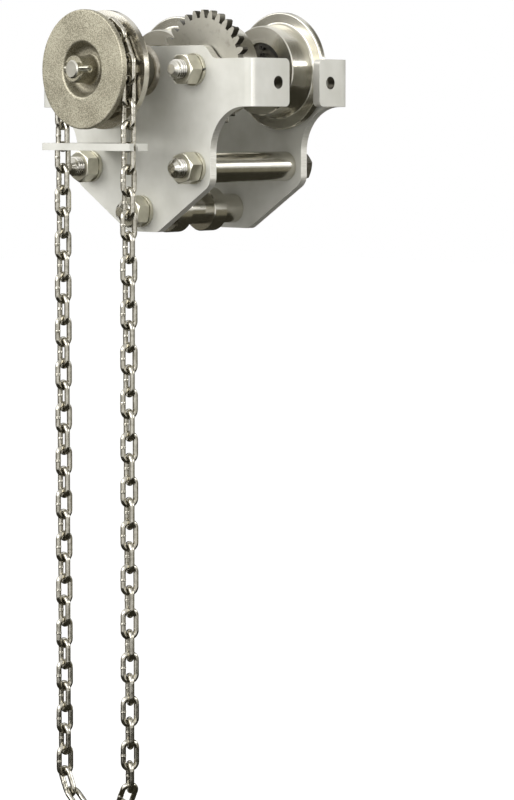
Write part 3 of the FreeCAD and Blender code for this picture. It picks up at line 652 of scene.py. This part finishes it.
class TROLLEY_OT_bars(bpy.types.Operator):
    """Turns the tie bars, load bar and axles, each with its threaded ends"""
    bl_idname = "trolley.bars"
    bl_label = "Bars and axles"

    def execute(self, context):
        sizes = context.scene.trolley_sizes
        front_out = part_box("lock_washers_front")[1].y
        rear_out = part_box("nuts_rear")[0].y
        front_in, rear_in = front_out + sizes.plate_thickness, rear_out - sizes.plate_thickness
        root = STUD_RADIUS - sizes.thread_depth
        cone = root - POINT_RADIUS
        point = [(0, 0), (POINT_RADIUS - POINT_ROUND, 0), (POINT_RADIUS, POINT_ROUND), (root, cone)]
        for node in ("tie_bar_left", "tie_bar_right", "load_bar"):
            low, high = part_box(node)
            x, z, r = (low.x + high.x) / 2, (low.z + high.z) / 2, (high.x - low.x) / 2
            body = drawn_round(
                [(radius, low.y + back) for radius, back in point]
                + [(root, front_in), (r - BAR_EDGE, front_in), (r, front_in + BAR_EDGE), (r, rear_in - BAR_EDGE),
                   (r - BAR_EDGE, rear_in), (root, rear_in)]
                + [(radius, high.y - back) for radius, back in reversed(point)], x, z)
            settle(body, node + "_turned", centreless_ground_stainless_bar)
            ends = [thread(sizes, low.y + cone, front_in, x, z, low.y),
                    thread(sizes, rear_in, high.y - cone, x, z, high.y)]
            ends = settle(joined(ends), node + "_threads", cut_stainless_thread)
            for piece in (body, ends):
                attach(piece, "frame")
            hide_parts(node)
        for corner in WHEELS:
            node = "axle_" + corner
            low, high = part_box(node)
            inner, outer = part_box("bearing_inner_rings_" + corner)
            x, z, collar = (low.x + high.x) / 2, (low.z + high.z) / 2, (high.x - low.x) / 2
            if corner.startswith("front"):
                way, near, far, seat, start, lip = -1, high.y, low.y, front_in, outer.y, inner.y
            else:
                way, near, far, seat, start, lip = 1, low.y, high.y, rear_in, inner.y, outer.y
            groove = start - way * CLIP_GROOVE_WIDTH
            body = drawn_round([
                (0, near), (AXLE_RADIUS - AXLE_EDGE, near), (AXLE_RADIUS, near + way * AXLE_EDGE),
                (AXLE_RADIUS, groove), (CLIP_GROOVE_RADIUS, groove), (CLIP_GROOVE_RADIUS, start), (AXLE_RADIUS, start),
                (AXLE_RADIUS, lip), (collar, lip), (collar, seat), (root, seat)]
                + [(radius, far - way * back) for radius, back in reversed(point)], x, z)
            settle(body, node + "_turned", turned_axle_steel)
            end = thread(sizes, *sorted((seat, far - way * cone)), x, z, far)
            settle(end, node + "_thread", cut_stainless_thread)
            for piece in (body, end):
                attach(piece, "frame")
            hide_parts(node)
        return {"FINISHED"}


class TROLLEY_OT_fasteners(bpy.types.Operator):
    """Gives the nuts and lock washers softened edges and their finishes"""
    bl_idname = "trolley.fasteners"
    bl_label = "Nuts and washers"

    def execute(self, context):
        bright = (pressed_stainless_fastener, "bright_fastener", "frame")
        for node, width, (make, slot, body) in (
                ("nuts_front", 0.25, bright), ("lock_washers_front", 0.3, bright), ("guide_bolts", 0.3, bright),
                # The rear nuts take the darker copy of the nut finish, as painted shade
                ("nuts_rear", 0.5, (dulled_steel_fastener, "dark_fastener", "frame")),
                ("spring_pin", 0.3, (pressed_stainless_fastener, "bright_fastener", "drive"))):
            piece = broken_edges(node, width * MM, make, segments=2)
            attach(piece, body)
            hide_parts(node)
        return {"FINISHED"}


class TROLLEY_OT_wheels(bpy.types.Operator):
    """Gives the wheels, bearings and circlips their finishes"""
    bl_idname = "trolley.wheels"
    bl_label = "Wheels and bearings"

    def execute(self, context):
        dress(lathe_turned_stainless, *("wheel_" + corner for corner in WHEELS))
        for kind in ("bearing_inner_rings_", "bearing_outer_rings_", "bearing_balls_"):
            dress(ground_bearing_steel, *(kind + corner for corner in WHEELS))
        dress(phosphated_spring_steel, "axle_circlips", *("wheel_circlip_" + corner for corner in WHEELS))
        return {"FINISHED"}


class TROLLEY_OT_drive(bpy.types.Operator):
    """Finishes the chain wheel, drive shaft and housing, and lays the weld bead"""
    bl_idname = "trolley.drive"
    bl_label = "Drive shaft and chain wheel"

    def execute(self, context):
        size = context.scene.trolley_sizes.weld_size
        dress(shot_blasted_cast_stainless, "hand_chain_wheel")
        dress(turned_axle_steel, "pinion_shaft", "wheel_key")
        dress(sintered_bronze, "bush_inner", "bush_outer")
        dress(satin_ground_stainless, "shaft_housing")
        dress(centreless_ground_stainless_bar, "load_collar_front", "load_collar_rear")
        low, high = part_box("shaft_housing")
        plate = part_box("lock_washers_front")[1].y
        r = (high.x - low.x) / 2
        root = (r - BEAD_SINK, plate + BEAD_ROOT)
        bead = drawn_round(
            [root, (r - BEAD_SINK, plate - size)]
            + [(r + out * size, plate - up * size) for out, up in BEAD_SHARES]
            + [(r + size, plate + BEAD_ROOT), root], (low.x + high.x) / 2, (low.z + high.z) / 2, steps=96)
        settle(bead, "housing_weld_bead", as_laid_stainless_weld, angle=60)
        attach(bead, "frame")
        return {"FINISHED"}


class TROLLEY_OT_guide(bpy.types.Operator):
    """Finishes the chain guide and its bracket"""
    bl_idname = "trolley.guide"
    bl_label = "Chain guide"

    def execute(self, context):
        for node in ("chain_guide", "guide_bracket"):
            piece = broken_edges(node, GUIDE_EDGE, blasted_stainless_sheet)
            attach(piece, "frame")
            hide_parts(node)
        return {"FINISHED"}


def link_places(node):
    """Centre, long axis, cross axis and half width of each link of a chain node, read from a copy split into links."""
    free_copy(node)
    bpy.ops.object.mode_set(mode="EDIT")
    bpy.ops.mesh.select_all(action="SELECT")
    bpy.ops.mesh.remove_doubles(threshold=MERGE)
    bpy.ops.mesh.separate(type="LOOSE")
    bpy.ops.object.mode_set(mode="OBJECT")
    links = list(bpy.context.selected_objects)
    places = []
    for link in links:
        points = np.array([vertex.co for vertex in link.data.vertices])
        centre = points.mean(axis=0)
        axes = np.linalg.svd(points - centre, full_matrices=False)[2]
        reach = np.abs((points - centre) @ axes[1]).max()
        places.append((Vector(centre), Vector(axes[0]), Vector(axes[1]), float(reach)))
    for link in links:
        discard(link)
    return places


class TROLLEY_OT_chain(bpy.types.Operator):
    """Polishes the hand chain and puts the butt weld on one leg of each link"""
    bl_idname = "trolley.chain"
    bl_label = "Hand chain"

    def execute(self, context):
        rise = context.scene.trolley_sizes.link_weld_rise
        half = [(-0.2 * MM, 1.5 * MM), (0.05 * MM, 1.4 * MM), (rise, 0.8 * MM), (rise, 0.3 * MM)]
        dress(barrel_polished_stainless_wire, *CHAIN)
        first = drawn_round(
            [(WIRE_RADIUS + proud, -y) for proud, y in half] + [(WIRE_RADIUS + 0.02 * MM, 0)]
            + [(WIRE_RADIUS + proud, y) for proud, y in reversed(half)], 0, 0, steps=20)
        settle(first, "link_weld", barrel_polished_stainless_wire, angle=SHARP_ANGLE)
        for node in CHAIN:
            welds = []
            for centre, along, across, reach in link_places(node):
                if across.dot(WELD_SIDE) < 0:
                    across = -across
                weld = first.copy()
                weld.data = first.data.copy()
                bpy.context.scene.collection.objects.link(weld)
                third = across.cross(along)
                turn = Matrix((across, along, third)).transposed()
                if turn.determinant() < 0:
                    turn = Matrix((across, along, -third)).transposed()
                weld.data.transform(Matrix.Translation(centre + across * (reach - WIRE_RADIUS)) @ turn.to_4x4())
                welds.append(weld)
            piece = settle(joined(welds), node + "_welds", barrel_polished_stainless_wire, angle=SHARP_ANGLE)
            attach(piece, "frame")
        discard(first)
        return {"FINISHED"}


def aimed(place, target):
    """Turn that points -Z from place to target."""
    return (Vector(target) - Vector(place)).to_track_quat("-Z", "Y").to_euler()


def lamp(name, place, size, power):
    """Soft box that points at the origin."""
    light = bpy.data.lights.new(name, "AREA")
    light.energy = power
    light.shape = "RECTANGLE"
    light.size, light.size_y = size
    holder = bpy.data.objects.new(name, light)
    holder.location = place
    holder.rotation_euler = aimed(place, (0, 0, 0))
    bpy.context.scene.collection.objects.link(holder)


def card(name, place, target, size, colour):
    """Dark card that only reflections see, as set beside bright metal in a studio."""
    board = begin("plane", size=1, location=place, rotation=aimed(place, target))
    board.scale = (*size, 1)
    board.name = name
    material, _, shader, _ = blank(name, 0.0)
    shader.inputs["Base Color"].default_value = (0, 0, 0, 1)
    shader.inputs["Specular IOR Level"].default_value = 0
    shader.inputs["Emission Color"].default_value = linear(colour)
    shader.inputs["Emission Strength"].default_value = 1
    board.data.materials.append(material)
    board.visible_camera = False
    board.visible_diffuse = False
    board.visible_shadow = False


def seen_directly(tree):
    """1 for rays from the camera, from gloss and through glass, and 0 for all others."""
    rays = add(tree, "ShaderNodeLightPath", {}).outputs
    seen = maths(tree, "MAXIMUM", rays["Is Camera Ray"], rays["Is Glossy Ray"])
    return maths(tree, "MAXIMUM", seen, rays["Is Transmission Ray"])


class TROLLEY_OT_stage(bpy.types.Operator):
    """Sets the floor, the soft lights, the cards and the camera"""
    bl_idname = "trolley.stage"
    bl_label = "Studio"

    def execute(self, context):
        scene = context.scene
        scene.view_settings.view_transform = "Standard"
        floor = begin("plane", size=FLOOR_SIZE, location=(0, 0, FLOOR_LEVEL))
        floor.name = "floor"
        material, tree, shader, _ = blank("pale_studio_floor", 0.0)
        shader.inputs["Base Color"].default_value = linear("EDEDEB")
        shader.inputs["Roughness"].default_value = 0.9
        tree.links.new(seen_directly(tree), shader.inputs["Emission Strength"])
        shader.inputs["Emission Color"].default_value = (FLOOR_GLOW, FLOOR_GLOW, FLOOR_GLOW, 1)
        floor.data.materials.append(material)
        world = bpy.data.worlds.new("studio")
        scene.world = world
        world.use_nodes = True
        tree = world.node_tree
        background = tree.nodes["Background"]
        background.inputs["Color"].default_value = (1, 1, 1, 1)
        level = spread(tree, seen_directly(tree), 0.0, 1.0, WORLD_LEVEL, 1.0)
        tree.links.new(level, background.inputs["Strength"])
        for name, settings in LAMPS.items():
            lamp(name, *settings)
        for name, settings in CARDS.items():
            card(name, *settings)
        camera = bpy.data.cameras.new("camera")
        holder = bpy.data.objects.new("camera", camera)
        scene.collection.objects.link(holder)
        camera.sensor_fit = "VERTICAL"
        camera.sensor_height = SENSOR_HEIGHT
        camera.lens = FOCAL_PIXELS / PICTURE_HEIGHT * SENSOR_HEIGHT
        camera.shift_y = CENTRE_ROW / PICTURE_HEIGHT - 0.5
        camera.clip_end = 100
        level = math.cos(CAMERA_RISE)
        out = Vector((math.sin(CAMERA_TURN) * level, -math.cos(CAMERA_TURN) * level, math.sin(CAMERA_RISE)))
        right = Vector((math.cos(CAMERA_TURN), math.sin(CAMERA_TURN), 0))
        turn = Matrix((right, out.cross(right), out)).transposed()
        holder.matrix_world = Matrix.Translation(CAMERA_PLACE) @ turn.to_4x4()
        scene.camera = holder
        return {"FINISHED"}


STEPS = (TROLLEY_OT_plates, TROLLEY_OT_bars, TROLLEY_OT_fasteners, TROLLEY_OT_wheels, TROLLEY_OT_drive,
         TROLLEY_OT_guide, TROLLEY_OT_chain, TROLLEY_OT_stage)


class TROLLEY_PT_panel(bpy.types.Panel):
    """Lists the trolley's pieces and sizes"""
    bl_idname = "TROLLEY_PT_panel"
    bl_label = "Geared beam trolley"
    bl_space_type = "VIEW_3D"
    bl_region_type = "UI"
    bl_category = "Trolley"

    def draw(self, context):
        for step in STEPS:
            self.layout.operator(step.bl_idname)
        for group in (context.scene.trolley_sizes, context.scene.trolley_colours):
            for name in group.bl_rna.properties.keys():
                if name not in ("rna_type", "name"):
                    self.layout.prop(group, name)


CLASSES = (TrolleySizes, TrolleyColours) + STEPS + (TROLLEY_PT_panel,)


def register():
    for cls in CLASSES:
        bpy.utils.register_class(cls)
    bpy.types.Scene.trolley_sizes = bpy.props.PointerProperty(type=TrolleySizes)
    bpy.types.Scene.trolley_colours = bpy.props.PointerProperty(type=TrolleyColours)


def unregister():
    del bpy.types.Scene.trolley_colours
    del bpy.types.Scene.trolley_sizes
    for cls in reversed(CLASSES):
        bpy.utils.unregister_class(cls)


def main():
    register()
    bpy.ops.trolley.plates()
    bpy.ops.trolley.bars()
    bpy.ops.trolley.fasteners()
    bpy.ops.trolley.wheels()
    bpy.ops.trolley.drive()
    bpy.ops.trolley.guide()
    bpy.ops.trolley.chain()
    bpy.ops.trolley.stage()


if __name__ == "__main__":
    main()
